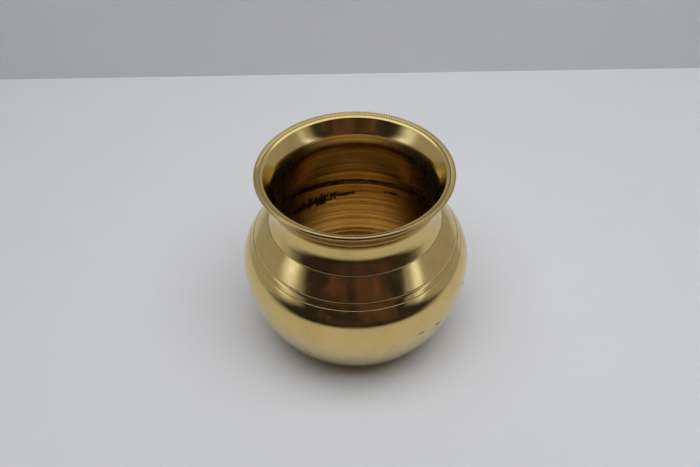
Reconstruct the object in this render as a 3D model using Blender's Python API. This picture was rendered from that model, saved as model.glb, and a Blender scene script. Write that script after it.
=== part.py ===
"""A round brass lota: a neck collar, a shoulder and a bowl, lapped into each other and brazed."""

import math
from collections import namedtuple

import bmesh
import bpy

MM = 0.001

# Sheet and fits
WALL = 2.5 * MM
NECK_WALL = 1.4 * MM
FLOOR_THICKNESS = 3.0 * MM
CLEARANCE = 0.3 * MM

# Bowl: flat base, softened base edge and round belly
BASE_RADIUS = 29.8 * MM
BASE_EDGE_RUN = 3.1 * MM
BASE_EDGE_RISE = 1.3 * MM
BELLY_RADIUS = 47.8 * MM
BELLY_RISE = 37.9 * MM

# Shoulder: a slightly bowed cone above the belly joint, with one turned line
JOINT_RISE = 11.3 * MM
JOINT_INSET = 3.7 * MM
SHOULDER_RISE = 10.5 * MM
SHOULDER_BULGE = 0.35 * MM
LINE_RISE = 2.2 * MM
LINE_WIDTH = 0.6 * MM
LINE_DEPTH = 0.25 * MM

# Neck collar: waisted neck, and a lip with a rounded outer edge and a top that falls to the mouth
THROAT_RADIUS = 33.5 * MM
THROAT_RISE = 10.3 * MM
ROOT_FLARE = 2.25 * MM
LIP_RISE = 12.2 * MM
LIP_FLARE = 6.5 * MM
LIP_LEDGE = 0.4 * MM
LIP_ROLL = 0.4 * MM
LIP_ROUND = 1.0 * MM
LIP_WIDTH = 3.5 * MM
LIP_FALL = 1.2 * MM

# Lap joints: the upper piece's spigot drops inside the lower piece, with a braze fillet in the corner
NECK_LAND = 1.05 * MM
NECK_SPIGOT_WALL = 1.3 * MM
NECK_BRAZE = 1.05 * MM
BELLY_LAND = 1.5 * MM
BELLY_SPIGOT_WALL = 1.3 * MM
BELLY_BRAZE = 1.6 * MM

# Facets
SEGMENTS = 60
BELLY_STEPS = 9
JOINT_STEPS = 4
SHOULDER_STEPS = 3
NECK_STEPS = 4
FLARE_STEPS = 6
LIP_STEPS = 4
SHARP_ANGLE = math.radians(32)
WELD = 0.001 * MM

# Heights above the surface that the pot stands on
JOINT_HEIGHT = BELLY_RISE + JOINT_RISE
NECK_HEIGHT = JOINT_HEIGHT + SHOULDER_RISE
THROAT_HEIGHT = NECK_HEIGHT + THROAT_RISE
LIP_HEIGHT = THROAT_HEIGHT + LIP_RISE
LIP_EDGE_HEIGHT = LIP_HEIGHT + LIP_ROLL
LIP_TOP_HEIGHT = LIP_EDGE_HEIGHT + LIP_ROUND
MOUTH_HEIGHT = LIP_TOP_HEIGHT - LIP_FALL

# Radii at those heights
JOINT_RADIUS = BELLY_RADIUS - JOINT_INSET
ROOT_RADIUS = THROAT_RADIUS + ROOT_FLARE
MOUTH_RADIUS = THROAT_RADIUS + LIP_FLARE
MOUTH_BORE = MOUTH_RADIUS - LIP_WIDTH
THROAT_BORE = THROAT_RADIUS - NECK_WALL
NECK_SOCKET = ROOT_RADIUS - NECK_LAND
NECK_SPIGOT = NECK_SOCKET - CLEARANCE
NECK_SPIGOT_BORE = NECK_SPIGOT - NECK_SPIGOT_WALL
BELLY_SOCKET = JOINT_RADIUS - BELLY_LAND
BELLY_SPIGOT = BELLY_SOCKET - CLEARANCE
BELLY_SPIGOT_BORE = BELLY_SPIGOT - BELLY_SPIGOT_WALL

# A turned curve's circle in the radius and height plane: a negative size is a hollow curve
Arc = namedtuple("Arc", "centre_radius centre_height size")


def upright_arc(turn, end):
    """The circle that stands upright at the point turn and passes through the point end."""
    run = end[0] - turn[0]
    rise = end[1] - turn[1]
    size = -(run * run + rise * rise) / (2.0 * run)
    return Arc(turn[0] - size, turn[1], size)


def bowed_arc(low, high, bulge):
    """The circle through two points that stands out from their chord by bulge."""
    run = high[0] - low[0]
    rise = high[1] - low[1]
    chord = math.hypot(run, rise)
    size = (chord * chord / 4.0 + bulge * bulge) / (2.0 * bulge)
    inset = size - bulge
    centre_radius = (low[0] + high[0]) / 2.0 - inset * rise / chord
    centre_height = (low[1] + high[1]) / 2.0 + inset * run / chord
    return Arc(centre_radius, centre_height, size)


def inside(arc, thickness):
    """The same curve, moved towards the axis by a wall's thickness."""
    return Arc(arc.centre_radius, arc.centre_height, arc.size - thickness)


def radius_at(arc, height):
    """The curve's distance from the axis at a height."""
    rise = height - arc.centre_height
    return arc.centre_radius + math.copysign(math.sqrt(arc.size * arc.size - rise * rise), arc.size)


def height_at(arc, radius):
    """The height above the circle's centre at which the curve has a radius."""
    run = radius - arc.centre_radius
    return arc.centre_height + math.sqrt(arc.size * arc.size - run * run)


def along(arc, start, end, steps):
    """Points along the curve from one height to another, at even angles."""
    first = math.asin((start - arc.centre_height) / abs(arc.size))
    last = math.asin((end - arc.centre_height) / abs(arc.size))
    points = []
    for step in range(steps + 1):
        angle = first + (last - first) * step / steps
        radius = arc.centre_radius + arc.size * math.cos(angle)
        points.append((radius, arc.centre_height + abs(arc.size) * math.sin(angle)))
    return points


# The pot's turned curves
UPPER_BELLY = upright_arc((BELLY_RADIUS, BELLY_RISE), (JOINT_RADIUS, JOINT_HEIGHT))
UPPER_BELLY_BORE = inside(UPPER_BELLY, WALL)
BASE_EDGE_RADIUS = BASE_RADIUS + BASE_EDGE_RUN
LOWER_BELLY = upright_arc((BELLY_RADIUS, BELLY_RISE), (BASE_EDGE_RADIUS, BASE_EDGE_RISE))
FLOOR_EDGE_HEIGHT = FLOOR_THICKNESS + BASE_EDGE_RISE
LOWER_BELLY_BORE = upright_arc((BELLY_RADIUS - WALL, BELLY_RISE), (BASE_EDGE_RADIUS, FLOOR_EDGE_HEIGHT))
SHOULDER = bowed_arc((JOINT_RADIUS, JOINT_HEIGHT), (ROOT_RADIUS, NECK_HEIGHT), SHOULDER_BULGE)
SHOULDER_BORE = inside(SHOULDER, WALL)
NECK_FOOT = upright_arc((THROAT_RADIUS, THROAT_HEIGHT), (ROOT_RADIUS, NECK_HEIGHT))
FLARE = upright_arc((THROAT_RADIUS, THROAT_HEIGHT), (MOUTH_RADIUS - LIP_LEDGE, LIP_HEIGHT))
FLARE_BORE = upright_arc((THROAT_BORE, THROAT_HEIGHT), (MOUTH_BORE, MOUTH_HEIGHT))


def braze_tip(shell_bore, spigot):
    """The height at which the corner between a spigot and a shell's inner wall is too narrow for braze."""
    return height_at(shell_bore, spigot + 2.0 * CLEARANCE)


def spigot_end(shell_bore, spigot, braze):
    """The height at which a spigot ends, so that its fillet has the same section in any corner."""
    tip = braze_tip(shell_bore, spigot)
    slope = (tip - shell_bore.centre_height) / (radius_at(shell_bore, tip) - shell_bore.centre_radius)
    return tip - braze / math.sqrt(slope)


# Where the joints' sockets and spigots end inside the pot
BELLY_SOCKET_END = height_at(UPPER_BELLY_BORE, BELLY_SOCKET)
BELLY_SPIGOT_END = spigot_end(UPPER_BELLY_BORE, BELLY_SPIGOT, BELLY_BRAZE)
NECK_SOCKET_END = height_at(SHOULDER_BORE, NECK_SOCKET)
NECK_SPIGOT_END = spigot_end(SHOULDER_BORE, NECK_SPIGOT, NECK_BRAZE)


def brass(name, colour, roughness):
    """A metal finish for one piece."""
    material = bpy.data.materials.new(name)
    material.use_nodes = True
    shader = material.node_tree.nodes["Principled BSDF"]
    shader.inputs["Base Color"].default_value = (*colour, 1.0)
    shader.inputs["Roughness"].default_value = roughness
    shader.inputs["Metallic"].default_value = 1.0
    return material


def turned_piece(name, outline, closed, seat, material, pot):
    """Spins an outline of radius and height points about the pot's axis, with its origin at its seat."""
    shape = bmesh.new()
    verts = [shape.verts.new((radius, 0.0, height - seat)) for radius, height in outline]
    edges = [shape.edges.new(pair) for pair in zip(verts, verts[1:])]
    if closed:
        edges.append(shape.edges.new((verts[-1], verts[0])))
    bmesh.ops.spin(shape, geom=verts + edges, cent=(0, 0, 0), axis=(0, 0, 1),
                   angle=math.tau, steps=SEGMENTS, use_merge=True)
    bmesh.ops.remove_doubles(shape, verts=shape.verts, dist=WELD)
    bmesh.ops.recalc_face_normals(shape, faces=shape.faces)
    mesh = bpy.data.meshes.new(name)
    shape.to_mesh(mesh)
    shape.free()
    mesh.shade_smooth()
    mesh.set_sharp_from_angle(angle=SHARP_ANGLE)
    mesh.materials.append(material)
    piece = bpy.data.objects.new(name, mesh)
    piece.location = (0.0, 0.0, seat)
    piece.parent = pot
    bpy.context.collection.objects.link(piece)
    return piece


def lip_crown():
    """The lip's top, from its outer edge over the round and down to the mouth's bore."""
    round_radius = MOUTH_RADIUS - LIP_ROUND
    points = []
    for step in range(LIP_STEPS + 1):
        angle = math.pi / 2.0 * step / LIP_STEPS
        height = LIP_EDGE_HEIGHT + LIP_ROUND * math.sin(angle)
        points.append((round_radius + LIP_ROUND * math.cos(angle), height))
    points.append((MOUTH_BORE, MOUTH_HEIGHT))
    return points


def neck_collar_outline():
    """Round the collar: lip, bore, spigot, joint face, then up the outside."""
    outline = lip_crown()
    outline += along(FLARE_BORE, MOUTH_HEIGHT, THROAT_HEIGHT, FLARE_STEPS)[1:]
    outline.append((NECK_SPIGOT_BORE, NECK_SPIGOT_END))
    outline.append((NECK_SPIGOT, NECK_SPIGOT_END))
    outline.append((NECK_SPIGOT, NECK_HEIGHT))
    outline += along(NECK_FOOT, NECK_HEIGHT, THROAT_HEIGHT, NECK_STEPS)
    outline += along(FLARE, THROAT_HEIGHT, LIP_HEIGHT, FLARE_STEPS)[1:]
    return outline


def shoulder_shell_outline():
    """Round the shoulder: neck socket, bore, spigot, joint face, then up the outside past its line."""
    top = NECK_HEIGHT - CLEARANCE
    line = JOINT_HEIGHT + LINE_RISE
    line_low = line - LINE_WIDTH / 2.0
    line_high = line + LINE_WIDTH / 2.0
    outline = [(NECK_SOCKET, top)]
    outline += along(SHOULDER_BORE, NECK_SOCKET_END, JOINT_HEIGHT, SHOULDER_STEPS)[:-1]
    outline.append((BELLY_SPIGOT_BORE, JOINT_HEIGHT))
    outline.append((BELLY_SPIGOT_BORE, BELLY_SPIGOT_END))
    outline.append((BELLY_SPIGOT, BELLY_SPIGOT_END))
    outline.append((BELLY_SPIGOT, JOINT_HEIGHT))
    outline.append((JOINT_RADIUS, JOINT_HEIGHT))
    outline.append((radius_at(SHOULDER, line_low), line_low))
    outline.append((radius_at(SHOULDER, line) - LINE_DEPTH, line))
    outline += along(SHOULDER, line_high, top, SHOULDER_STEPS)
    return outline


def bowl_shell_outline():
    """From the middle of the inner floor up to the socket and rim, down the belly, to the base's middle."""
    rim = JOINT_HEIGHT - CLEARANCE
    outline = [(0.0, FLOOR_THICKNESS), (BASE_RADIUS, FLOOR_THICKNESS)]
    outline += along(LOWER_BELLY_BORE, FLOOR_EDGE_HEIGHT, BELLY_RISE, BELLY_STEPS)
    outline += along(UPPER_BELLY_BORE, BELLY_RISE, BELLY_SOCKET_END, JOINT_STEPS)[1:]
    outline.append((BELLY_SOCKET, rim))
    outline += along(UPPER_BELLY, rim, BELLY_RISE, JOINT_STEPS)
    outline += along(LOWER_BELLY, BELLY_RISE, BASE_EDGE_RISE, BELLY_STEPS)[1:]
    outline += [(BASE_RADIUS, 0.0), (0.0, 0.0)]
    return outline


def braze_outline(shell_bore, spigot, end):
    """The corner between a spigot and a shell's inner wall, filled down to the spigot's end."""
    inner = spigot + CLEARANCE
    outer = radius_at(shell_bore, end) - CLEARANCE
    return [(inner, end), (outer, end), (inner, braze_tip(shell_bore, spigot))]


def build():
    """Clears the scene and builds the pot's five pieces."""
    for existing in list(bpy.data.objects):
        bpy.data.objects.remove(existing)
    pot = bpy.data.objects.new("lota", None)
    bpy.context.collection.objects.link(pot)

    neck_brass = brass("neck_brass", (0.55, 0.41, 0.16), 0.22)
    shoulder_brass = brass("shoulder_brass", (0.53, 0.40, 0.17), 0.22)
    bowl_brass = brass("bowl_brass", (0.50, 0.39, 0.18), 0.28)
    neck_spelter = brass("neck_spelter", (0.36, 0.28, 0.14), 0.45)
    belly_spelter = brass("belly_spelter", (0.33, 0.25, 0.13), 0.50)

    bowl = bowl_shell_outline()
    shoulder = shoulder_shell_outline()
    collar = neck_collar_outline()
    belly_braze = braze_outline(UPPER_BELLY_BORE, BELLY_SPIGOT, BELLY_SPIGOT_END)
    neck_braze = braze_outline(SHOULDER_BORE, NECK_SPIGOT, NECK_SPIGOT_END)

    turned_piece("bowl_shell", bowl, False, 0.0, bowl_brass, pot)
    turned_piece("shoulder_shell", shoulder, True, JOINT_HEIGHT, shoulder_brass, pot)
    turned_piece("neck_collar", collar, True, NECK_HEIGHT, neck_brass, pot)
    turned_piece("belly_braze_seam", belly_braze, True, BELLY_SPIGOT_END, belly_spelter, pot)
    turned_piece("neck_braze_seam", neck_braze, True, NECK_SPIGOT_END, neck_spelter, pot)


build()
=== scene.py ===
"""The looks of the brass lota: turned shells with a milled lip and uneven braze, in a small light tent."""

import math
from collections import namedtuple

import bpy
import numpy as np
from mathutils import Matrix, Vector, noise


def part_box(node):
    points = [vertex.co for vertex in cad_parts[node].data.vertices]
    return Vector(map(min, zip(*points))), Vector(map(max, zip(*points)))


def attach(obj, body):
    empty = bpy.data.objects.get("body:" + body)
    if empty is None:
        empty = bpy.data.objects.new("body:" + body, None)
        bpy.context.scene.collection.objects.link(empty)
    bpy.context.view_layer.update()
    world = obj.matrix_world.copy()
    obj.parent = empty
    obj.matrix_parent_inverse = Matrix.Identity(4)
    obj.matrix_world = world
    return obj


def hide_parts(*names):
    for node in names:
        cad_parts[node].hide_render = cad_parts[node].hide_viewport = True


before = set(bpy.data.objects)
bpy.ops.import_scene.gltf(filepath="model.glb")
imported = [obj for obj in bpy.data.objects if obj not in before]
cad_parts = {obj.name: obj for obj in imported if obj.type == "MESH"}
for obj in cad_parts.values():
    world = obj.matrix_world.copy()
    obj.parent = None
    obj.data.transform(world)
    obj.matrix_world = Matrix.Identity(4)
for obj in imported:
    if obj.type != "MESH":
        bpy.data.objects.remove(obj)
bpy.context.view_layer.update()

MM = 0.001

# The pot's sizes, as the solids have them
WALL = 2.5 * MM
FLOOR_THICKNESS = 3.0 * MM
BASE_RADIUS = 29.8 * MM
BASE_EDGE_RUN = 3.1 * MM
BASE_EDGE_RISE = 1.3 * MM
BELLY_RADIUS = 47.8 * MM
BELLY_RISE = 37.9 * MM
JOINT_RISE = 11.3 * MM
JOINT_INSET = 3.7 * MM
SHOULDER_RISE = 10.5 * MM
SHOULDER_BULGE = 0.35 * MM
LINE_RISE = 2.2 * MM
THROAT_RADIUS = 33.5 * MM
THROAT_RISE = 10.3 * MM
ROOT_FLARE = 2.25 * MM
LIP_RISE = 12.2 * MM
LIP_FLARE = 6.5 * MM
LIP_ROLL = 0.4 * MM
LIP_ROUND = 1.0 * MM
LIP_WIDTH = 3.5 * MM
LIP_FALL = 1.2 * MM
NECK_LAND = 1.05 * MM
BELLY_LAND = 1.5 * MM
BELLY_SPIGOT_WALL = 1.3 * MM
CLEARANCE = 0.3 * MM

# The neck's bore: how many degrees it leans from upright below the throat, above it and at the mouth, and
# the heights of the bends between
NECK_LEAN = -7.5
THROAT_LEAN = 18.0
MOUTH_LEAN = 36.0
THROAT_BEND = (68.0 * MM, 74.4 * MM)
MOUTH_BEND = (75.2 * MM, 79.2 * MM)

# The neck's outside: bends above and below its waist, and straight from there to the lip and the root
WAIST_DROP = 1.0 * MM
FLARE_BEND = 14.6 * MM
FLARE_KNEE = 76.5 * MM
FOOT_BEND = 16.8 * MM
FOOT_KNEE = 63.8 * MM

# Details that differ a little from the solids: hairline joints, a smaller ledge under the lip, a softer
# turned line on the shoulder, and small rounds
JOINT_GAP = 0.05 * MM
LIP_LEDGE = 0.1 * MM
LINE_WIDTH = 0.90 * MM
LINE_DEPTH = 0.22 * MM
EDGE_ROUND = 0.14 * MM
FINE_ROUND = 0.05 * MM

# The lip's milled ticks, keenest at one bearing, the line inside them, and their share of the bore's tone
TEETH = 218
TOOTH_DEPTH = 0.34 * MM
TOOTH_START = (0.1 * MM, 0.3 * MM)
TOOTH_END = (0.3 * LIP_ROUND, 0.7 * LIP_ROUND)
KEEN_BEARING = math.radians(62)
KEEN_MIDDLE = 0.55
KEEN_SWING = 0.45
KEEN_PATCHES = 0.3
LIP_LINE = 2.4 * MM
LIP_LINE_WIDTH = 0.42 * MM
LIP_LINE_DEPTH = 0.14 * MM
LIP_TONE = 0.6

# How dark the neck is, from 0 to 1, with soil and painted shade, and the heights between which the painted
# shade under its lip begins
# The ticks' valleys hold oxide and painted shade, strongest at the keen bearing; the faint ticks and the
# keen part of the lip's line get painted shade only.
TICK_SOIL_AND_SHADE = 0.95
FAINT_TICK_SHADE = 0.2
LIP_LINE_SOIL = 0.3
KEEN_LINE_SHADE = 0.6
NECK_END_SOIL = 0.3
UNDER_LIP_SHADE = 0.3
UNDER_LIP_SHADE_HEIGHTS = (72.5 * MM, 75.0 * MM)

# How soiled the shoulder's torn end, its turned line and its joints are
SEAM_SOIL = 0.8
TORN_SEAM_SOIL = 0.2
LINE_SOIL = 0.1
JOINT_SOIL = 0.5

# How far the spigots' ends are torn up and down, and how wide the marks of the ends and joints are
NECK_END_TEAR = 0.25 * MM
NECK_END_WIDTH = 1.2 * MM
SEAM_TEAR = 0.45 * MM
JOINT_WIDTH = 0.25 * MM

# Mesh fineness
NECK_SEGMENTS = 4 * TEETH
SHELL_SEGMENTS = 480
STEP = 0.4 * MM
ROUND_STEPS = 10
LIP_STEP = 0.12 * MM
SHARP_ANGLE = math.radians(50)

# The heights between which the bright mouth turns into the dull bore
BORE_LOW = 75.0 * MM
BORE_HIGH = 79.0 * MM

# How strong the belly's grime is, and the heights between which the pale metal and the grime end
GRIME = 0.28
PALE_HEIGHTS = (20.0 * MM, 36.0 * MM)
GRIME_HEIGHTS = (18.0 * MM, 34.0 * MM)

# Marks inside the bowl, with bearings in degrees: a ledge, turned ridges, a torn seam, a rough cast patch
# that falls away to one side, and a small spot on the other side
BACK_BEARING = 90.0
LEDGE_HEIGHTS = (38.2 * MM, 40.8 * MM)
LEDGE_STEP = 0.8 * MM
LEDGE_FADE = (6.0 * MM, 30.0 * MM)
FINE_RIDGES = 0.05 * MM
BROAD_RIDGES = 0.10 * MM
SEAM_BEARINGS = (97.0, 128.0)
SEAM_WIDTH = 0.9 * MM
SEAM_SPREAD = 0.9 * MM
PATCH_HEIGHT = 34.0 * MM
PATCH_FALL = 0.075 * MM
PATCH_WIDTHS = (1.6 * MM, 4.4 * MM)
PATCH_BEARINGS = (88.0, 132.0)
PATCH_WIDE_BEARINGS = (102.0, 126.0)
PATCH_DEPTH = 0.22 * MM
SPOT_BEARINGS = (62.0, 72.0)
SPOT_SHARE = 0.8

# A stain all over inside the bowl, and painted shade on the bore's sides, from 0 to 1: how far from the
# pot's back, in degrees, the painted shade sets in and fades again, how much of it the front loses, and the
# heights between which it grows in the bowl
SIDE_SHADE_STRENGTH = 0.57
BOWL_STAIN = 0.12
SIDE_SHADE_BEARINGS = (12.0, 44.0)
NECK_SIDE_SHADE_BEARINGS = (26.0, 62.0)
SIDE_SHADE_END = (110.0, 150.0)
FRONT_SHADE_LOSS = 0.55
SIDE_SHADE_HEIGHTS = (12.0 * MM, 42.0 * MM)

# Casting pits in the belly, with bearings in degrees
Pit = namedtuple("Pit", "bearing height half_length half_width tilt")
PIT_DEPTH = 0.16 * MM
BELLY_PITS = (
    Pit(-20.1, 34.7 * MM, 1.6 * MM, 0.62 * MM, 1.2),
    Pit(-44.7, 28.6 * MM, 2.5 * MM, 0.56 * MM, 0.35),
    Pit(-56.7, 30.2 * MM, 1.9 * MM, 0.40 * MM, 0.2),
    Pit(-118.2, 20.9 * MM, 1.0 * MM, 0.55 * MM, 0.0),
    Pit(-116.0, 19.5 * MM, 0.8 * MM, 0.50 * MM, 0.0),
)

# Lumps in the braze: how far they swell sideways and upward
BRAZE_SWELL = 0.08 * MM
BRAZE_RISE = 0.12 * MM

# The grain of the finishes: turned lines, tarnish, smears, specks, lumps of braze, and the paper's fibres
# with their shade
FINE_LINES = 0.35 * MM
BROAD_LINES = 1.6 * MM
CLOUDS = 16.0 * MM
SMEARS = 5.0 * MM
SPECKS = 0.8 * MM
GRIME_SPECKS = 1.7 * MM
BRAZE_LUMPS = 1.2 * MM
FIBRES = 30.0 * MM
FIBRE_SHADE = 0.97

# How much smears, turned lines, soil and painted shade roughen the brass, and how strongly its turned lines
# stand out
SMEAR_WEAR = 0.07
LINE_WEAR = 0.04
SOIL_WEAR = 0.17
LINE_RELIEF = 0.09 * MM
SKIN_LINES = 0.09
BORE_LINES = 0.75

# Colours
BRASS_BRIGHT = (0.70, 0.525, 0.20)
BRASS_DULL = (0.60, 0.44, 0.165)
BRASS_PALE = (0.72, 0.58, 0.29)
BORE_BRIGHT = (0.87, 0.62, 0.268)
BORE_DULL = (0.46, 0.305, 0.127)
OXIDE_AND_SHADE = (0.045, 0.030, 0.016)
FLOOR_COLOUR = (0.835, 0.843, 0.870)
FLOOR_FAR = (0.565, 0.570, 0.590)
WALL_COLOUR = (0.78, 0.785, 0.795)
SKY = (1.10, 1.18, 1.35)
SKY_LIGHT = (0.050, 0.053, 0.060)
TENT_DIM = (0.38, 0.38, 0.39)
TENT_BRIGHT = (1.30, 1.42, 1.72)
ROOM_DARK = (0.028, 0.024, 0.027)
ROOM_WARM = (0.105, 0.058, 0.048)
ROOM_GLINT = (0.17, 0.080, 0.042)
ROOM_EDGE = (0.018, 0.014, 0.012)
ROOM_BROWN = (0.20, 0.130, 0.080)

# The lamp over the pot, in metres and watts
LAMP_PLACE = (0.06, -0.13, 0.70)
LAMP_SIZE = (0.85, 0.50)
LAMP_POWER = 3.95

# The stage, in metres: a paper floor that pales away from the pot, and a light tent
PAPER_HALF = 1.5
FLOOR_FADE = (0.30, 0.60)
TENT_BACK = 0.200
TENT_FRONT = -0.345
TENT_SIDE = 0.238
TENT_HEIGHT = 0.33

# The tent's cloths: the depth and height of the lamp behind each, its reach and lean, and the soft edges
LEFT_LAMP = (-0.080, 0.155)
LEFT_REACH = (0.080, 0.135)
LEFT_LAMP_LEAN = 0.45
LEFT_HEM = (-0.345, -0.265)
RIGHT_LAMP = (-0.120, 0.150)
RIGHT_REACH = (0.055, 0.130)
RIGHT_LAMP_LEAN = 0.60
RIGHT_HEM = (-0.375, -0.315)
HEM_LEAN = 0.80
SKIRT = (-0.125, 0.010)
SKIRT_LEAN = -1.667

# The dim room at the tent's front, in metres: its wall, the hanging's soft edge, and the table before it
ROOM_FRONT = -0.60
ROOM_HALF = 1.00
ROOM_HEIGHT = 1.50
HANGING_EDGE = (0.35, 0.75)
TABLE_LIFT = 1.0 * MM
TABLE_EDGE = (0.128, 0.180)
TABLE_DARK = (0.180, 0.400)
TABLE_FRONT = (-0.020, -0.150)

# How closely the room's patches and glints repeat along each axis
ROOM_PATCHES = (5.5, 2.0, 1.6)
ROOM_GLINTS = (10.0, 12.0, 3.0)

# The camera: its picture in pixels, its sensor in millimetres, its pitch, yaw and roll in degrees, its place
IMAGE_WIDTH = 700
SENSOR_WIDTH = 36.0
CAMERA_FOCAL_PIXELS = 850.0
CAMERA_ANGLES = (43.15, -0.498, -1.222)
CAMERA_PLACE = (0.0, -0.26182, 0.29429)

# Heights and radii worked out from the sizes
JOINT_HEIGHT = BELLY_RISE + JOINT_RISE
NECK_HEIGHT = JOINT_HEIGHT + SHOULDER_RISE
THROAT_HEIGHT = NECK_HEIGHT + THROAT_RISE
LIP_HEIGHT = THROAT_HEIGHT + LIP_RISE
LIP_EDGE_HEIGHT = LIP_HEIGHT + LIP_ROLL
LIP_TOP_HEIGHT = LIP_EDGE_HEIGHT + LIP_ROUND
MOUTH_HEIGHT = LIP_TOP_HEIGHT - LIP_FALL
JOINT_RADIUS = BELLY_RADIUS - JOINT_INSET
ROOT_RADIUS = THROAT_RADIUS + ROOT_FLARE
MOUTH_RADIUS = THROAT_RADIUS + LIP_FLARE
MOUTH_BORE = MOUTH_RADIUS - LIP_WIDTH
NECK_SOCKET = ROOT_RADIUS - NECK_LAND
BELLY_SOCKET = JOINT_RADIUS - BELLY_LAND

# The joints' inner ends and seams, from the solids
BELLY_SPIGOT_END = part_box("shoulder_shell")[0].z
NECK_SPIGOT_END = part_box("neck_collar")[0].z
BELLY_BRAZE_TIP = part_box("belly_braze_seam")[1].z
NECK_BRAZE_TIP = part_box("neck_braze_seam")[1].z
BELLY_BRAZE_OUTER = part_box("belly_braze_seam")[1].x
NECK_BRAZE_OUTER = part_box("neck_braze_seam")[1].x

# A turned curve's circle in the radius and height plane: a negative size is a hollow curve
Arc = namedtuple("Arc", "centre_radius centre_height size")


def upright_arc(turn, end):
    """The circle that stands upright at the point turn and passes through the point end."""
    run = end[0] - turn[0]
    rise = end[1] - turn[1]
    size = -(run * run + rise * rise) / (2.0 * run)
    return Arc(turn[0] - size, turn[1], size)


def bowed_arc(low, high, bulge):
    """The circle through two points that stands out from their chord by bulge."""
    run = high[0] - low[0]
    rise = high[1] - low[1]
    chord = math.hypot(run, rise)
    size = (chord * chord / 4.0 + bulge * bulge) / (2.0 * bulge)
    inset = size - bulge
    centre_radius = (low[0] + high[0]) / 2.0 - inset * rise / chord
    centre_height = (low[1] + high[1]) / 2.0 + inset * run / chord
    return Arc(centre_radius, centre_height, size)


def inside(arc, thickness):
    """The same curve, moved towards the axis by a wall's thickness."""
    return Arc(arc.centre_radius, arc.centre_height, arc.size - thickness)


def radius_at(arc, height):
    """The curve's distance from the axis at a height."""
    rise = height - arc.centre_height
    return arc.centre_radius + math.copysign(math.sqrt(arc.size * arc.size - rise * rise), arc.size)


def height_at(arc, radius):
    """The height above the circle's centre at which the curve has a radius."""
    run = radius - arc.centre_radius
    return arc.centre_height + math.sqrt(arc.size * arc.size - run * run)


def along(arc, start, end):
    """Points along the curve from one height to another, about a mesh step apart."""
    first = math.asin((start - arc.centre_height) / abs(arc.size))
    last = math.asin((end - arc.centre_height) / abs(arc.size))
    steps = max(2, math.ceil(abs(last - first) * abs(arc.size) / STEP))
    points = []
    for step in range(steps + 1):
        angle = first + (last - first) * step / steps
        radius = arc.centre_radius + arc.size * math.cos(angle)
        points.append((radius, arc.centre_height + abs(arc.size) * math.sin(angle)))
    return points


def straight(start, end, spacing=STEP):
    """Points along a line, about a mesh step apart."""
    steps = max(1, math.ceil(math.dist(start, end) / spacing))
    start, end = np.array(start), np.array(end)
    return [tuple(start + (end - start) * k / steps) for k in range(steps + 1)]


def rounded(before, corner, after, size):
    """A corner of an outline, softened by a small round."""
    corner = Vector(corner)
    first = corner + (Vector(before) - corner).normalized() * size
    last = corner + (Vector(after) - corner).normalized() * size
    return [tuple(first), tuple(first.lerp(corner, 0.5).lerp(corner.lerp(last, 0.5), 0.5)), tuple(last)]


# The pot's turned curves
UPPER_BELLY = upright_arc((BELLY_RADIUS, BELLY_RISE), (JOINT_RADIUS, JOINT_HEIGHT))
UPPER_BELLY_BORE = inside(UPPER_BELLY, WALL)
BASE_EDGE_RADIUS = BASE_RADIUS + BASE_EDGE_RUN
FLOOR_EDGE_HEIGHT = FLOOR_THICKNESS + BASE_EDGE_RISE
LOWER_BELLY = upright_arc((BELLY_RADIUS, BELLY_RISE), (BASE_EDGE_RADIUS, BASE_EDGE_RISE))
LOWER_BELLY_BORE = upright_arc((BELLY_RADIUS - WALL, BELLY_RISE), (BASE_EDGE_RADIUS, FLOOR_EDGE_HEIGHT))
SHOULDER = bowed_arc((JOINT_RADIUS, JOINT_HEIGHT), (ROOT_RADIUS, NECK_HEIGHT), SHOULDER_BULGE)
SHOULDER_BORE = inside(SHOULDER, WALL)
WAIST_HEIGHT = THROAT_HEIGHT - WAIST_DROP
NECK_FOOT = Arc(THROAT_RADIUS + FOOT_BEND, WAIST_HEIGHT, -FOOT_BEND)
FLARE = Arc(THROAT_RADIUS + FLARE_BEND, WAIST_HEIGHT, -FLARE_BEND)
NECK_SOCKET_END = height_at(SHOULDER_BORE, NECK_SOCKET)
NECK_SPIGOT = NECK_SOCKET - JOINT_GAP
BELLY_SOCKET_END = height_at(UPPER_BELLY_BORE, BELLY_SOCKET)
BELLY_SPIGOT = BELLY_SOCKET - JOINT_GAP
BELLY_SPIGOT_BORE = BELLY_SOCKET - CLEARANCE - BELLY_SPIGOT_WALL


def turned_faces(rows, on_axis):
    """Faces between the rings, closed at the ends by fans to two points on the axis or by one more band."""
    after = np.roll(rows, -1, axis=1)
    low, high = slice(None, -1), slice(1, None)
    faces = np.stack([rows[low], after[low], after[high], rows[high]], axis=-1).reshape(-1, 4).tolist()
    if on_axis:
        start, end = rows.size, rows.size + 1
        faces += [(start, last, first) for first, last in zip(rows[0], after[0])]
        faces += [(end, first, last) for first, last in zip(rows[-1], after[-1])]
    else:
        faces += np.stack([rows[-1], after[-1], after[0], rows[0]], axis=-1).tolist()
    return faces


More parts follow.
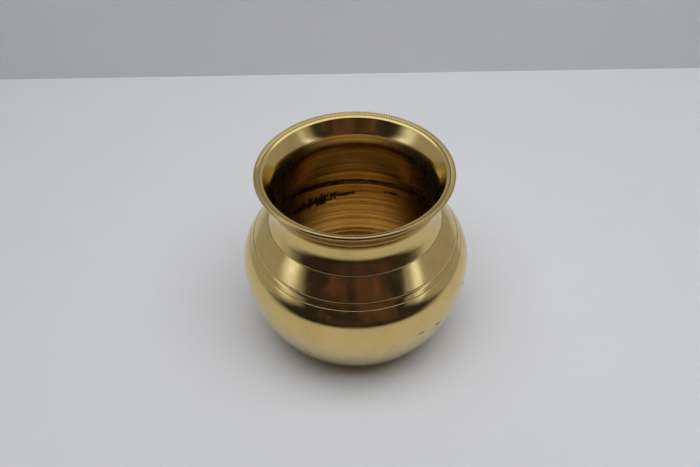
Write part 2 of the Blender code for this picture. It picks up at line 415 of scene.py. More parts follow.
def turned_mesh(name, outline, segments, shape):
    """Turns an outline of radius, height and bore flag into an object. Its ends may lie on the axis.

    shape moves the points of the turned grid, and says how soiled each one is and how much painted shade it
    gets.
    """
    outline = np.array(outline)
    on_axis = outline[:, 0] < STEP * 1e-6
    rings = outline[~on_axis]
    angles = np.arange(segments) * math.tau / segments
    radius, height, bore = (np.repeat(rings[:, k:k + 1], segments, axis=1) for k in range(3))
    radius, height, soil_and_shade = shape(radius, height, bore, angles)
    points = np.stack([radius * np.cos(angles), radius * np.sin(angles), height], axis=-1)
    verts = points.reshape(-1, 3).tolist()
    flags = bore.reshape(-1).tolist()
    soil_and_shade_values = soil_and_shade.reshape(-1).tolist()
    for _, level, flag in outline[on_axis]:
        verts.append((0.0, 0.0, level))
        flags.append(flag)
        soil_and_shade_values.append(0.0)
    rows = np.arange(rings.shape[0] * segments).reshape(-1, segments)
    mesh = bpy.data.meshes.new(name)
    mesh.from_pydata(verts, [], turned_faces(rows, on_axis.any()))
    mesh.shade_smooth()
    mesh.set_sharp_from_angle(angle=SHARP_ANGLE)
    for layer, values in (("bore", flags), ("soil_and_shade", soil_and_shade_values)):
        mesh.attributes.new(layer, "FLOAT", "POINT").data.foreach_set("value", values)
    turned = bpy.data.objects.new(name, mesh)
    bpy.context.collection.objects.link(turned)
    return turned


def smooth(value, low, high):
    """A soft step from 0 at low to 1 at high."""
    share = np.clip((value - low) / (high - low), 0.0, 1.0)
    return share * share * (3.0 - 2.0 * share)


def bump_at(value, middle, width):
    """A soft bump of height 1 at middle that dies out a width away."""
    return 1.0 - smooth(np.abs(value - middle), 0.0, width)


def grain(radius, height, angles, size, seed):
    """Noise over a turned grid, about -1 to 1, with lumps of a size."""
    x = radius * np.cos(angles) / size
    y = radius * np.sin(angles) / size
    z = height / size + seed
    values = [noise.noise(Vector(p)) for p in zip(x.ravel(), y.ravel(), z.ravel())]
    return np.array(values).reshape(radius.shape)


def ring_grain(height, size, seed):
    """Noise that is the same all round the pot, so that it draws turned lines."""
    column = [noise.noise(Vector((seed, 0.0, h / size))) for h in height[:, 0]]
    return np.repeat(np.array(column)[:, None], height.shape[1], axis=1)


def painted_side_shade(angles, bearings=SIDE_SHADE_BEARINGS):
    """Painted shade on the bore: 0 at the pot's back, 1 at its sides, and less at the front."""
    away = np.abs((np.degrees(angles) - BACK_BEARING + 180.0) % 360.0 - 180.0)
    return smooth(away, *bearings) * (1.0 - FRONT_SHADE_LOSS * smooth(away, *SIDE_SHADE_END))


def arc_share(angles, first, last, edge=5.0):
    """1 between two bearings in degrees, with soft ends."""
    bearing = np.degrees(angles)
    return smooth(bearing, first - edge, first + edge) * (1.0 - smooth(bearing, last - edge, last + edge))


def faced(points, bore):
    """The same points with a flag: 1 inside the pot, 0 outside."""
    return [(radius, height, bore) for radius, height in points]


def bore_slope(height):
    """How far the neck's bore leans out from upright at a height, in degrees."""
    lean = NECK_LEAN + (THROAT_LEAN - NECK_LEAN) * smooth(height, *THROAT_BEND)
    return lean + (MOUTH_LEAN - THROAT_LEAN) * smooth(height, *MOUTH_BEND)


def neck_bore():
    """The bore from the mouth's edge down its flare and through the throat to the spigot's end."""
    radius = MOUTH_BORE
    height = MOUTH_HEIGHT
    points = [(radius, height)]
    while height > NECK_SPIGOT_END + STEP:
        radius -= STEP * math.tan(math.radians(bore_slope(height - STEP / 2.0)))
        height -= STEP
        points.append((radius, height))
    return points


def neck_outline():
    """Over the lip, down the bore, round the spigot and up the outside."""
    middle = MOUTH_RADIUS - LIP_ROUND
    lip = []
    for step in range(ROUND_STEPS + 1):
        angle = math.pi / 2.0 * step / ROUND_STEPS
        lip.append((middle + LIP_ROUND * math.cos(angle), LIP_EDGE_HEIGHT + LIP_ROUND * math.sin(angle)))
    mouth = (MOUTH_BORE, MOUTH_HEIGHT)
    bore = neck_bore()
    lip += straight(lip[-1], mouth, LIP_STEP)[1:-3]
    lip += rounded(lip[-1], mouth, bore[1], EDGE_ROUND)
    inner_end = (bore[-1][0], NECK_SPIGOT_END)
    outer_end = (NECK_SPIGOT, NECK_SPIGOT_END)
    bore = bore[1:] + rounded(bore[-1], inner_end, outer_end, EDGE_ROUND)
    bore += rounded(inner_end, outer_end, (NECK_SPIGOT, NECK_HEIGHT), EDGE_ROUND)
    root = (ROOT_RADIUS, NECK_HEIGHT)
    foot = straight(root, (radius_at(NECK_FOOT, FOOT_KNEE), FOOT_KNEE))
    foot += along(NECK_FOOT, FOOT_KNEE, WAIST_HEIGHT)[1:]
    skin = [(NECK_SPIGOT, NECK_HEIGHT)]
    skin += rounded((NECK_SPIGOT, NECK_HEIGHT), root, foot[1], FINE_ROUND)
    skin += foot[1:]
    skin += along(FLARE, WAIST_HEIGHT, FLARE_KNEE)[1:]
    skin += straight(skin[-1], (MOUTH_RADIUS - LIP_LEDGE, LIP_HEIGHT))[1:]
    deep = [(radius, rise, 1.0 - float(smooth(rise, BORE_LOW, BORE_HIGH))) for radius, rise in bore]
    crown = [(radius, rise, LIP_TONE if radius > MOUTH_RADIUS - LIP_LINE else 0.0) for radius, rise in lip]
    return crown + deep + faced(skin, 0.0)


def neck_shape(radius, height, bore, angles):
    """Mills the lip's outer edge, cuts the line beside it and roughens the spigot's end."""
    line = MOUTH_RADIUS - LIP_LINE
    run = radius - (MOUTH_RADIUS - LIP_ROUND)
    rise = height - LIP_EDGE_HEIGHT
    length = np.maximum(np.hypot(run, rise), 0.1 * MM)
    milled = smooth(radius, line + TOOTH_START[0], line + TOOTH_START[1])
    milled = milled * np.where(run > 0.0, smooth(rise, *TOOTH_END), 1.0) * (bore < 1.0)
    turn = (angles * TEETH / math.tau) % 1.0
    valley = (1.0 - np.abs(2.0 * turn - 1.0)) ** 3
    patchy = grain(radius, height, angles, size=14.0 * MM, seed=3.0)
    keen = KEEN_MIDDLE + KEEN_SWING * np.cos(angles - KEEN_BEARING) + KEEN_PATCHES * patchy
    keen = np.clip(keen, 0.0, 1.0)
    groove = bump_at(radius, line, LIP_LINE_WIDTH) * smooth(rise, 0.0, 0.4 * MM)
    cut = TOOTH_DEPTH * milled * valley * keen + LIP_LINE_DEPTH * groove
    end = bump_at(height, NECK_SPIGOT_END, NECK_END_WIDTH) * bore
    ragged = end * grain(radius, height, angles, size=1.6 * MM, seed=8.0) * NECK_END_TEAR
    outside = (np.arange(len(height)) > np.argmin(height[:, 0]))[:, None]
    # Oxide and painted shade in the ticks' valleys, painted shade on the faint ticks and along the keen part
    # of the lip's line.
    soil_and_shade = milled * (TICK_SOIL_AND_SHADE * keen * valley + FAINT_TICK_SHADE * (1.0 - keen))
    soil_and_shade = soil_and_shade + (LIP_LINE_SOIL + KEEN_LINE_SHADE * keen) * groove + NECK_END_SOIL * end
    # Painted shade on the bore's sides.
    soil_and_shade = soil_and_shade + SIDE_SHADE_STRENGTH * painted_side_shade(angles, NECK_SIDE_SHADE_BEARINGS) * (bore - milled).clip(0.0)
    # Painted shade on the flare's outside under the lip.
    soil_and_shade = soil_and_shade + UNDER_LIP_SHADE * outside * smooth(height, *UNDER_LIP_SHADE_HEIGHTS)
    return radius - cut * run / length, height - cut * rise / length + ragged, soil_and_shade


def shoulder_outline():
    """Down the neck socket and the bore, round the spigot and up the outside past its turned line."""
    top = NECK_HEIGHT - JOINT_GAP
    line = JOINT_HEIGHT + LINE_RISE
    bore = [(NECK_SOCKET, top - EDGE_ROUND), (NECK_SOCKET, NECK_SOCKET_END)]
    bore += along(SHOULDER_BORE, NECK_SOCKET_END, JOINT_HEIGHT)[1:]
    inner_end = (BELLY_SPIGOT_BORE, BELLY_SPIGOT_END)
    outer_end = (BELLY_SPIGOT, BELLY_SPIGOT_END)
    bore += straight((BELLY_SPIGOT_BORE, JOINT_HEIGHT), inner_end)[1:-1]
    bore += rounded(bore[-1], inner_end, outer_end, EDGE_ROUND)
    bore += rounded(inner_end, outer_end, (BELLY_SPIGOT, JOINT_HEIGHT), EDGE_ROUND)
    step = (BELLY_SPIGOT, JOINT_HEIGHT)
    corner = (JOINT_RADIUS, JOINT_HEIGHT)
    low = along(SHOULDER, JOINT_HEIGHT, line - LINE_WIDTH / 2.0)
    high = along(SHOULDER, line + LINE_WIDTH / 2.0, top)
    skin = [step]
    skin += rounded(step, corner, low[1], EDGE_ROUND)
    skin += low[1:]
    bottom = (radius_at(SHOULDER, line) - LINE_DEPTH, line)
    skin += straight(low[-1], bottom, LIP_STEP)[1:]
    skin += straight(bottom, high[0], LIP_STEP)[1:]
    skin += high[1:-1]
    skin += rounded(high[-2], high[-1], (NECK_SOCKET, top), FINE_ROUND)
    return faced(bore, 1.0) + faced(skin, 0.0)


def shoulder_shape(radius, height, bore, angles):
    """Leaves the spigot's lower end ragged, and soils the joints and the turned line."""
    torn = arc_share(angles, *SEAM_BEARINGS)
    end = bump_at(height, BELLY_SPIGOT_END, SEAM_WIDTH + SEAM_SPREAD * torn) * bore
    tear = grain(radius, height, angles, size=2.2 * MM, seed=21.0)
    tear = tear + 0.6 * grain(radius, height, angles, size=0.9 * MM, seed=5.0)
    line = bump_at(height, JOINT_HEIGHT + LINE_RISE, LINE_WIDTH * 0.6) * (1.0 - bore)
    joint = bump_at(height, JOINT_HEIGHT, JOINT_WIDTH) + bump_at(height, NECK_HEIGHT, JOINT_WIDTH)
    soil_and_shade = (SEAM_SOIL + TORN_SEAM_SOIL * torn) * end + LINE_SOIL * line + JOINT_SOIL * joint * (1.0 - bore)
    # Painted shade on the bore's sides.
    soil_and_shade = soil_and_shade + SIDE_SHADE_STRENGTH * painted_side_shade(angles) * bore
    return radius, height + end * tear * SEAM_TEAR, np.clip(soil_and_shade, 0.0, 1.0)


def bowl_outline():
    """From the base's middle up the belly, over the rim and socket, and down inside to the floor."""
    rim = JOINT_HEIGHT - JOINT_GAP
    corner = (BASE_EDGE_RADIUS - BASE_EDGE_RISE, 0.0)
    skin = [(0.0, 0.0)]
    skin += straight((STEP, 0.0), (BASE_RADIUS, 0.0))
    belly = along(LOWER_BELLY, BASE_EDGE_RISE, BELLY_RISE)
    start = Vector(skin[-1])
    for share in (0.25, 0.5, 0.75):
        skin.append(tuple(start.lerp(corner, share).lerp(Vector(corner).lerp(belly[0], share), share)))
    skin += belly
    upper = along(UPPER_BELLY, BELLY_RISE, rim)
    skin += upper[1:-1]
    skin += rounded(upper[-2], upper[-1], (BELLY_SOCKET, rim), EDGE_ROUND)
    bore = [(BELLY_SOCKET, rim - EDGE_ROUND), (BELLY_SOCKET, BELLY_SOCKET_END)]
    bore += along(UPPER_BELLY_BORE, BELLY_SOCKET_END, BELLY_RISE)[1:]
    bore += along(LOWER_BELLY_BORE, BELLY_RISE, FLOOR_EDGE_HEIGHT)[1:]
    bore += straight((BASE_RADIUS, FLOOR_THICKNESS), (STEP, FLOOR_THICKNESS))
    bore.append((0.0, FLOOR_THICKNESS))
    return faced(skin, 0.0) + faced(bore, 1.0)


def inner_relief(height, bore):
    """How far the turned ridges and the ledge under the seam stand into the bowl."""
    ridges = ring_grain(height, size=1.5 * MM, seed=40.0) * FINE_RIDGES
    ridges = ridges + ring_grain(height, size=4.0 * MM, seed=47.0) * BROAD_RIDGES
    ledge = LEDGE_STEP * (1.0 - smooth(height, *LEDGE_HEIGHTS)) * smooth(height, *LEDGE_FADE)
    off_floor = smooth(height, FLOOR_EDGE_HEIGHT, FLOOR_EDGE_HEIGHT + 3.0 * MM)
    under_joint = 1.0 - smooth(height, BELLY_SPIGOT_END, BELLY_SPIGOT_END + 1.0 * MM)
    return (ridges + ledge) * bore * off_floor * under_joint


def cast_patch(height, bore, angles):
    """How rough the metal under the seam is: 1 inside the patch and most of that in the spot beside it."""
    fall = (np.degrees(angles) - BACK_BEARING) * PATCH_FALL
    narrow, wide = PATCH_WIDTHS
    spread = narrow + (wide - narrow) * arc_share(angles, *PATCH_WIDE_BEARINGS)
    patch = bump_at(height, PATCH_HEIGHT - fall, spread) * bore
    spot = SPOT_SHARE * arc_share(angles, *SPOT_BEARINGS, edge=3.0)
    return patch * np.maximum(arc_share(angles, *PATCH_BEARINGS), spot)


def pit_dent(pit, radius, height, angles, crumbs):
    """How deep a casting pit is, from 0 to 1, with crumbling edges."""
    across = (np.radians(pit.bearing) - angles + math.pi) % math.tau - math.pi
    across = across * radius
    up = height - pit.height - across * pit.tilt
    off_middle = (across / pit.half_length) ** 2 + (up / pit.half_width) ** 2
    return np.clip(1.35 - off_middle + 0.5 * crumbs, 0.0, 1.0)


def bowl_shape(radius, height, bore, angles):
    """Ridges, a ledge and oxide under the inner seam, rough cast patches, and pits in the belly."""
    inward = inner_relief(height, bore)
    wander = grain(radius, height, angles, size=6.0 * MM, seed=11.0) * 0.7 * MM
    crumbs = grain(radius, height, angles, size=0.9 * MM, seed=15.0)
    strokes = grain(radius, 0.4 * height, angles, size=0.9 * MM, seed=18.0)
    low_edge = LEDGE_HEIGHTS[1] - SEAM_WIDTH - SEAM_SPREAD * arc_share(angles, *SEAM_BEARINGS)
    seam = smooth(height + wander, low_edge, low_edge + 0.6 * MM) * bore
    soil_and_shade = seam * smooth(crumbs, -0.75, -0.25)
    # A stain all over inside the bowl, and painted shade on its sides that grows with height.
    soil_and_shade = soil_and_shade + (BOWL_STAIN + SIDE_SHADE_STRENGTH * painted_side_shade(angles) * smooth(height, *SIDE_SHADE_HEIGHTS)) * bore
    patch = cast_patch(height + wander, bore, angles)
    scars = smooth(strokes + 1.4 * patch, 0.65, 1.0) * smooth(patch, 0.05, 0.3)
    soil_and_shade = soil_and_shade + scars
    inward = inward - scars * PATCH_DEPTH
    for pit in BELLY_PITS:
        dent = pit_dent(pit, radius, height, angles, crumbs) * (1.0 - bore)
        soil_and_shade = soil_and_shade + dent
        inward = inward + dent * PIT_DEPTH
    outward = np.where(bore > 0.5, -inward, -np.abs(inward))
    return radius + outward, height, np.clip(soil_and_shade, 0.0, 1.0)


def braze_outline(spigot, end, tip, outer):
    """A lumpy fillet's section in the corner beside a spigot: along the wall, round the face and back."""
    face = []
    for share in (0.0, 0.2, 0.4, 0.6, 0.8, 1.0):
        sag = math.sin(math.pi * share) * (outer - spigot) * 0.3
        face.append((spigot + (outer - spigot) * share, end + sag))
    side = straight((outer, end), (spigot, tip))[1:]
    back = straight((spigot, tip), (spigot, end))[1:-1]
    return faced(face + side + back, 1.0)


def braze_shape(radius, height, bore, angles):
    """Lumps and runs in the braze, inside the corner that it fills."""
    lumps = grain(radius, height, angles, size=1.3 * MM, seed=31.0)
    return radius + lumps * BRAZE_SWELL, height + lumps * BRAZE_RISE, 0.6 + 0.4 * lumps


class Graph:
    """A node tree with short calls for the nodes that the finishes share."""

    def __init__(self, tree):
        self.tree = tree
        tree.nodes.clear()

    def add(self, kind, **settings):
        """A new node with its settings."""
        node = self.tree.nodes.new(kind)
        for key, value in settings.items():
            setattr(node, key, value)
        return node

    def wire(self, value, socket):
        """Links another node's output to a socket, or sets a plain value there."""
        if isinstance(value, bpy.types.NodeSocket):
            self.tree.links.new(value, socket)
        else:
            socket.default_value = value

    def tint(self, colour, socket):
        """Wires a colour, which may be plain red, green and blue, to a socket."""
        self.wire((*colour, 1.0) if isinstance(colour, tuple) else colour, socket)

    def math(self, operation, first, second=0.0, clamp=False):
        node = self.add("ShaderNodeMath", operation=operation, use_clamp=clamp)
        self.wire(first, node.inputs[0])
        self.wire(second, node.inputs[1])
        return node.outputs[0]

    def vector(self, operation, first, second=(0.0, 0.0, 0.0), output="Vector"):
        node = self.add("ShaderNodeVectorMath", operation=operation)
        self.wire(first, node.inputs[0])
        self.wire(second, node.inputs[1])
        return node.outputs[output]

    def scaled(self, vector, size):
        """A place counted in steps of a size, for a texture with grain of that size."""
        return self.vector("MULTIPLY", vector, (1.0 / size,) * 3)

    def noise(self, vector, detail=2.0, roughness=0.5):
        node = self.add("ShaderNodeTexNoise")
        self.wire(vector, node.inputs["Vector"])
        node.inputs["Scale"].default_value = 1.0
        node.inputs["Detail"].default_value = detail
        node.inputs["Roughness"].default_value = roughness
        return node.outputs["Fac"]

    def step(self, value, low, high, start=0.0, end=1.0):
        """A soft step from start to end as the value goes from low to high."""
        node = self.add("ShaderNodeMapRange", interpolation_type="SMOOTHSTEP")
        self.wire(value, node.inputs["Value"])
        for name, number in (("From Min", low), ("From Max", high), ("To Min", start), ("To Max", end)):
            self.wire(number, node.inputs[name])
        return node.outputs["Result"]

    def mix(self, share, first, second):
        """A colour that turns from the first into the second as the share goes from 0 to 1."""
        node = self.add("ShaderNodeMix", data_type="RGBA")
        self.wire(share, node.inputs["Factor"])
        for name, colour in (("A", first), ("B", second)):
            socket = next(s for s in node.inputs if s.name == name and s.type == "RGBA")
            self.tint(colour, socket)
        return next(s for s in node.outputs if s.type == "RGBA")

    def weighted(self, first, first_share, second, second_share):
        """The sum of two values, each times its share."""
        first = self.math("MULTIPLY", first, first_share)
        second = self.math("MULTIPLY", second, second_share)
        return self.math("ADD", first, second)

    def bump(self, height, strength, distance):
        node = self.add("ShaderNodeBump")
        node.inputs["Distance"].default_value = distance
        self.wire(strength, node.inputs["Strength"])
        self.wire(height, node.inputs["Height"])
        return node.outputs["Normal"]

    def metal(self, colour, rough, normal):
        node = self.add("ShaderNodeBsdfPrincipled")
        node.inputs["Metallic"].default_value = 1.0
        self.wire(colour, node.inputs["Base Color"])
        self.wire(rough, node.inputs["Roughness"])
        self.wire(normal, node.inputs["Normal"])
        return node.outputs[0]

    def emission(self, colour):
        node = self.add("ShaderNodeEmission")
        self.tint(colour, node.inputs["Color"])
        return node.outputs[0]

    def blend(self, share, first, second):
        """A shader that turns from the first into the second as the share goes from 0 to 1."""
        node = self.add("ShaderNodeMixShader")
        for value, socket in zip((share, first, second), node.inputs):
            self.wire(value, socket)
        return node.outputs[0]

    def surface(self, shader, kind="ShaderNodeOutputMaterial"):
        """Makes a shader the tree's result."""
        self.wire(shader, self.add(kind).inputs["Surface"])

    def attribute(self, name):
        return self.add("ShaderNodeAttribute", attribute_name=name).outputs["Fac"]

    def position(self):
        return self.add("ShaderNodeTexCoord").outputs["Object"]

    def axes(self, position):
        split = self.add("ShaderNodeSeparateXYZ")
        self.wire(position, split.inputs[0])
        return split.outputs

    def leaning(self, axes, lean):
        """Depth from front to back, measured from a line that leans back as it rises."""
        return self.math("SUBTRACT", axes["Y"], self.math("MULTIPLY", axes["Z"], lean))

    def ring_position(self, position):
        """Radius and height as a vector, so that a texture runs in turned lines."""
        flat = self.vector("MULTIPLY", position, (1.0, 1.0, 0.0))
        radius = self.vector("LENGTH", flat, output="Value")
        joined = self.add("ShaderNodeCombineXYZ")
        self.wire(radius, joined.inputs["X"])
        self.wire(self.axes(position)["Z"], joined.inputs["Z"])
        return joined.outputs[0]


def blank_material(name):
    """A new material and the graph that fills it."""
    material = bpy.data.materials.new(name)
    material.use_nodes = True
    return material, Graph(material.node_tree)


def brass_colour(graph, place, lines, smears, bore, soil_and_shade):
    """Bright and tarnished brass, paler and dirtier low on the belly, browner inside, and dark with soil and
    painted shade.
    """
    level = graph.axes(place)["Z"]
    clouds = graph.noise(graph.scaled(place, CLOUDS), detail=4.0, roughness=0.6)
    specks = graph.noise(graph.scaled(place, SPECKS), detail=1.0, roughness=0.5)
    grime = graph.noise(graph.scaled(place, GRIME_SPECKS), detail=3.0, roughness=0.6)

    skin_colour = graph.mix(graph.step(clouds, 0.42, 0.72), BRASS_BRIGHT, BRASS_DULL)
    pale_colour = graph.mix(graph.step(smears, 0.45, 0.70), BRASS_PALE, BRASS_BRIGHT)
    skin_colour = graph.mix(graph.step(level, *PALE_HEIGHTS), pale_colour, skin_colour)
    bore_colour = graph.mix(graph.step(lines, 0.42, 0.62), BORE_BRIGHT, BORE_DULL)
    colour = graph.mix(bore, skin_colour, bore_colour)

    low_grime = graph.step(level, *GRIME_HEIGHTS, GRIME, 0.0)
    dots = graph.math("MULTIPLY", graph.step(grime, 0.56, 0.70), low_grime)
    dots = graph.math("ADD", graph.step(specks, 0.74, 0.80, 0.0, 0.6), dots)
    dots = graph.math("MULTIPLY", dots, graph.step(bore, 0.0, 0.5, 1.0, 0.0))
    # Soil, specks and painted shade darken the brass towards the oxide colour.
    return graph.mix(graph.math("MAXIMUM", soil_and_shade, dots, clamp=True), colour, OXIDE_AND_SHADE)


def brass_roughness(graph, skin_rough, bore_rough, lines, smears, bore, soil_and_shade):
    """The roughness outside and inside, raised by smears, by the bore's turned lines and by soil and painted
    shade.
    """
    rough = graph.math("ADD", graph.step(smears, 0.35, 0.75, 0.0, SMEAR_WEAR), skin_rough)
    rough = graph.math("ADD", rough, graph.math("MULTIPLY", bore, bore_rough - skin_rough))
    line_wear = graph.math("MULTIPLY", bore, graph.step(lines, 0.45, 0.60, 0.0, LINE_WEAR))
    rough = graph.math("ADD", rough, line_wear)
    return graph.math("ADD", rough, graph.math("MULTIPLY", soil_and_shade, SOIL_WEAR), clamp=True)


def brass(name, skin_rough, bore_rough):
    """Polished brass with turned lines, faint tarnish and smears, and dark oxide where it is soiled, the
    same dark also painting shade.
    """
    material, graph = blank_material(name)
    place = graph.position()
    rings = graph.ring_position(place)
    bore = graph.attribute("bore")
    soil_and_shade = graph.attribute("soil_and_shade")
    fine_lines = graph.noise(graph.scaled(rings, FINE_LINES), detail=2.0, roughness=0.6)
    broad_lines = graph.noise(graph.scaled(rings, BROAD_LINES), detail=2.0, roughness=0.5)
    smears = graph.noise(graph.scaled(place, SMEARS), detail=5.0, roughness=0.65)
    lines = graph.weighted(fine_lines, 0.5, broad_lines, 0.5)
    colour = brass_colour(graph, place, lines, smears, bore, soil_and_shade)
    rough = brass_roughness(graph, skin_rough, bore_rough, lines, smears, bore, soil_and_shade)
    relief = graph.weighted(fine_lines, 0.55, broad_lines, 0.5)
    strength = graph.math("ADD", graph.math("MULTIPLY", bore, BORE_LINES), SKIN_LINES)
    graph.surface(graph.metal(colour, rough, graph.bump(relief, strength, LINE_RELIEF)))
    return material


def spelter(name):
    """Dark, lumpy braze with brighter high spots."""
    material, graph = blank_material(name)
    lumps = graph.noise(graph.scaled(graph.position(), BRAZE_LUMPS), detail=4.0, roughness=0.6)
    colour = graph.mix(graph.step(lumps, 0.4, 0.7), OXIDE_AND_SHADE, BORE_DULL)
    rough = graph.step(lumps, 0.3, 0.7, 0.6, 0.38)
    graph.surface(graph.metal(colour, rough, graph.bump(lumps, 0.6, 0.2 * MM)))
    return material


def piece(name, outline, segments, shape, material, node):
    """One finished piece of the pot, standing for a solid."""
    made = turned_mesh(name, outline, segments, shape)
    made.data.materials.append(material)
    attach(made, "root")
    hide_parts(node)
    return made


def panel(name, corner, along_one, along_two, material):
    """A flat sheet of the stage from a corner and two sides."""
    corner, along_one, along_two = Vector(corner), Vector(along_one), Vector(along_two)
    mesh = bpy.data.meshes.new(name)
    points = [corner, corner + along_one, corner + along_one + along_two, corner + along_two]
    mesh.from_pydata(points, [], [(0, 1, 2, 3)])
    mesh.materials.append(material)
    sheet = bpy.data.objects.new(name, mesh)
    bpy.context.collection.objects.link(sheet)
    return sheet


def looked_at(graph):
    """1 for rays from the camera, straight or by way of metal or glass, and 0 for light that scatters."""
    path = graph.add("ShaderNodeLightPath")
    mirrored = graph.math("MAXIMUM", path.outputs["Is Glossy Ray"], path.outputs["Is Transmission Ray"])
    return graph.math("MAXIMUM", mirrored, path.outputs["Is Camera Ray"])


def paper(name, colour):
    """Matt paper that stays pale far from the pot. It shows from its front only, so it hides nothing."""
    material, graph = blank_material(name)
    place = graph.position()
    fibres = graph.noise(graph.scaled(place, FIBRES), detail=3.0, roughness=0.6)
    matt = graph.add("ShaderNodeBsdfDiffuse")
    graph.wire(graph.mix(fibres, colour, tuple(FIBRE_SHADE * c for c in colour)), matt.inputs["Color"])
    away = graph.vector("LENGTH", place, output="Value")
    far = graph.math("MULTIPLY", looked_at(graph), graph.step(away, *FLOOR_FADE))
    front = graph.blend(far, matt.outputs[0], graph.emission(FLOOR_FAR))
    behind = graph.add("ShaderNodeNewGeometry").outputs["Backfacing"]
    clear = graph.add("ShaderNodeBsdfTransparent").outputs[0]
    graph.surface(graph.blend(behind, front, clear))
    return material


def glow(name, lamp, reach, lamp_lean, hem):
    """Lit cloth, brightest where a leaning lamp stands behind it, with a leaning hem towards the room."""
    material, graph = blank_material(name)
    axes = graph.axes(graph.position())
    above = graph.math("SUBTRACT", axes["Z"], lamp[1])
    beside = graph.math("SUBTRACT", graph.leaning(axes, lamp_lean), lamp[0] - lamp_lean * lamp[1])
    far_above = graph.math("POWER", graph.math("ABSOLUTE", graph.math("DIVIDE", above, reach[1])), 2.0)
    far_beside = graph.math("POWER", graph.math("ABSOLUTE", graph.math("DIVIDE", beside, reach[0])), 2.0)
    away = graph.math("SQRT", graph.math("ADD", far_above, far_beside))
    cloth = graph.mix(graph.step(away, 0.0, 1.0, 1.0, 0.0), TENT_DIM, TENT_BRIGHT)
    hemmed = graph.step(graph.leaning(axes, HEM_LEAN), *hem)
    lit = graph.math("MULTIPLY", hemmed, graph.step(graph.leaning(axes, SKIRT_LEAN), *SKIRT))
    graph.surface(graph.emission(graph.mix(lit, ROOM_DARK, cloth)))
    return material


def dusk(name):
    """The dim warm room before the tent: upright patches, a brown hanging, and a table that fades in."""
    material, graph = blank_material(name)
    place = graph.position()
    axes = graph.axes(place)
    patches = graph.noise(graph.vector("MULTIPLY", place, ROOM_PATCHES), detail=2.0, roughness=0.5)
    glints = graph.noise(graph.vector("MULTIPLY", place, ROOM_GLINTS), detail=2.0, roughness=0.6)
    away = graph.vector("LENGTH", place, output="Value")
    colour = graph.mix(graph.step(patches, 0.42, 0.66), ROOM_DARK, ROOM_WARM)
    colour = graph.mix(graph.step(axes["X"], *HANGING_EDGE), colour, ROOM_BROWN)
    colour = graph.mix(graph.step(glints, 0.58, 0.70), colour, ROOM_GLINT)
    colour = graph.mix(graph.step(away, *TABLE_DARK), ROOM_EDGE, colour)
    beyond = graph.step(away, *TABLE_EDGE)
    ahead = graph.step(graph.math("MULTIPLY", axes["Y"], -1.0), -TABLE_FRONT[0], -TABLE_FRONT[1])
    clear = graph.add("ShaderNodeBsdfTransparent").outputs[0]
    graph.surface(graph.blend(graph.math("MULTIPLY", beyond, ahead), clear, graph.emission(colour)))
    return material


def mirrored_only(sheet):
    """Cloth or dim room that shows only where the metal mirrors it."""
    sheet.visible_camera = False
    sheet.visible_transmission = False
    sheet.visible_shadow = False
    sheet.visible_diffuse = False


def build_pot():
    """The five pieces, in place of their solids."""
    neck_brass = brass("neck_brass", skin_rough=0.11, bore_rough=0.14)
    shoulder_brass = brass("shoulder_brass", skin_rough=0.11, bore_rough=0.14)
    bowl_brass = brass("bowl_brass", skin_rough=0.10, bore_rough=0.11)
    braze = spelter("spelter")
    piece("neck_collar_turned", neck_outline(), NECK_SEGMENTS, neck_shape, neck_brass,
          "neck_collar")
    piece("shoulder_shell_turned", shoulder_outline(), SHELL_SEGMENTS, shoulder_shape, shoulder_brass,
          "shoulder_shell")
    piece("bowl_shell_turned", bowl_outline(), SHELL_SEGMENTS, bowl_shape, bowl_brass,
          "bowl_shell")
    neck_braze = braze_outline(NECK_SPIGOT, NECK_SPIGOT_END, NECK_BRAZE_TIP, NECK_BRAZE_OUTER)
    belly_braze = braze_outline(BELLY_SPIGOT, BELLY_SPIGOT_END, BELLY_BRAZE_TIP, BELLY_BRAZE_OUTER)
    piece("neck_braze_fillet", neck_braze, SHELL_SEGMENTS, braze_shape, braze,
          "neck_braze_seam")
    piece("belly_braze_fillet", belly_braze, SHELL_SEGMENTS, braze_shape, braze,
          "belly_braze_seam")


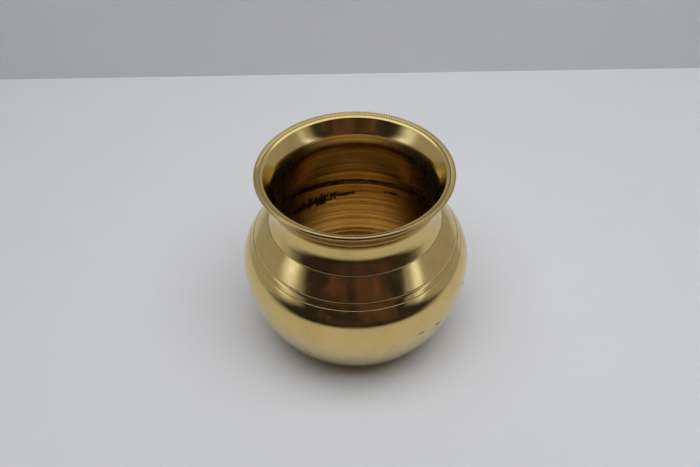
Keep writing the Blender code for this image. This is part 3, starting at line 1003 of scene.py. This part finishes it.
def build_stage():
    """A pale floor and back wall, the lit sides of a small light tent, and the dim room at its front."""
    across = (2.0 * PAPER_HALF, 0.0, 0.0)
    height = (0.0, 0.0, TENT_HEIGHT)
    panel("floor", (-PAPER_HALF, -PAPER_HALF, 0.0), across, (0.0, 2.0 * PAPER_HALF, 0.0),
          paper("floor_paper", FLOOR_COLOUR))
    panel("back_wall", (-PAPER_HALF, TENT_BACK, 0.0), across, height, paper("wall_paper", WALL_COLOUR))
    depth = (0.0, TENT_BACK - TENT_FRONT, 0.0)
    left_cloth = glow("left_cloth", LEFT_LAMP, LEFT_REACH, LEFT_LAMP_LEAN, LEFT_HEM)
    right_cloth = glow("right_cloth", RIGHT_LAMP, RIGHT_REACH, RIGHT_LAMP_LEAN, RIGHT_HEM)
    left = panel("tent_left", (-TENT_SIDE, TENT_FRONT, 0.0), depth, height, left_cloth)
    right = panel("tent_right", (TENT_SIDE, TENT_FRONT, 0.0), depth, height, right_cloth)
    room = dusk("dim_room")
    width = (2.0 * ROOM_HALF, 0.0, 0.0)
    front = panel("room_front", (-ROOM_HALF, ROOM_FRONT, 0.0), width, (0.0, 0.0, ROOM_HEIGHT), room)
    table = panel("room_floor", (-ROOM_HALF, 0.0, TABLE_LIFT), width, (0.0, ROOM_FRONT, 0.0), room)
    for sheet in (left, right, front, table):
        mirrored_only(sheet)


def build_light():
    """A broad soft lamp for the floor and wall, and a sky that the metal mirrors."""
    world = bpy.data.worlds.new("soft_light")
    bpy.context.scene.world = world
    world.use_nodes = True
    graph = Graph(world.node_tree)
    sky = graph.add("ShaderNodeBackground")
    graph.wire(graph.mix(looked_at(graph), SKY_LIGHT, SKY), sky.inputs["Color"])
    graph.surface(sky.outputs[0], "ShaderNodeOutputWorld")
    lamp = bpy.data.lights.new("top_lamp", "AREA")
    lamp.shape = "RECTANGLE"
    lamp.size, lamp.size_y = LAMP_SIZE
    lamp.energy = LAMP_POWER
    light = bpy.data.objects.new("top_lamp", lamp)
    light.location = LAMP_PLACE
    light.visible_glossy = False
    bpy.context.collection.objects.link(light)


def build_camera():
    """The photograph's view: a little above the pot, looking down into its mouth."""
    data = bpy.data.cameras.new("camera")
    data.sensor_width = SENSOR_WIDTH
    data.lens = CAMERA_FOCAL_PIXELS * SENSOR_WIDTH / IMAGE_WIDTH
    camera = bpy.data.objects.new("camera", data)
    pitch, yaw, roll = (math.radians(a) for a in CAMERA_ANGLES)
    forward = Vector((math.sin(yaw) * math.cos(pitch), math.cos(yaw) * math.cos(pitch), -math.sin(pitch)))
    level = Vector((math.cos(yaw), -math.sin(yaw), 0.0))
    above = level.cross(forward)
    right = math.cos(roll) * level + math.sin(roll) * above
    up = math.cos(roll) * above - math.sin(roll) * level
    turn = Matrix((right, up, -forward)).transposed().to_4x4()
    camera.matrix_world = Matrix.Translation(CAMERA_PLACE) @ turn
    bpy.context.collection.objects.link(camera)
    bpy.context.scene.camera = camera
    bpy.context.scene.view_settings.view_transform = "Standard"


build_pot()
build_stage()
build_light()
build_camera()
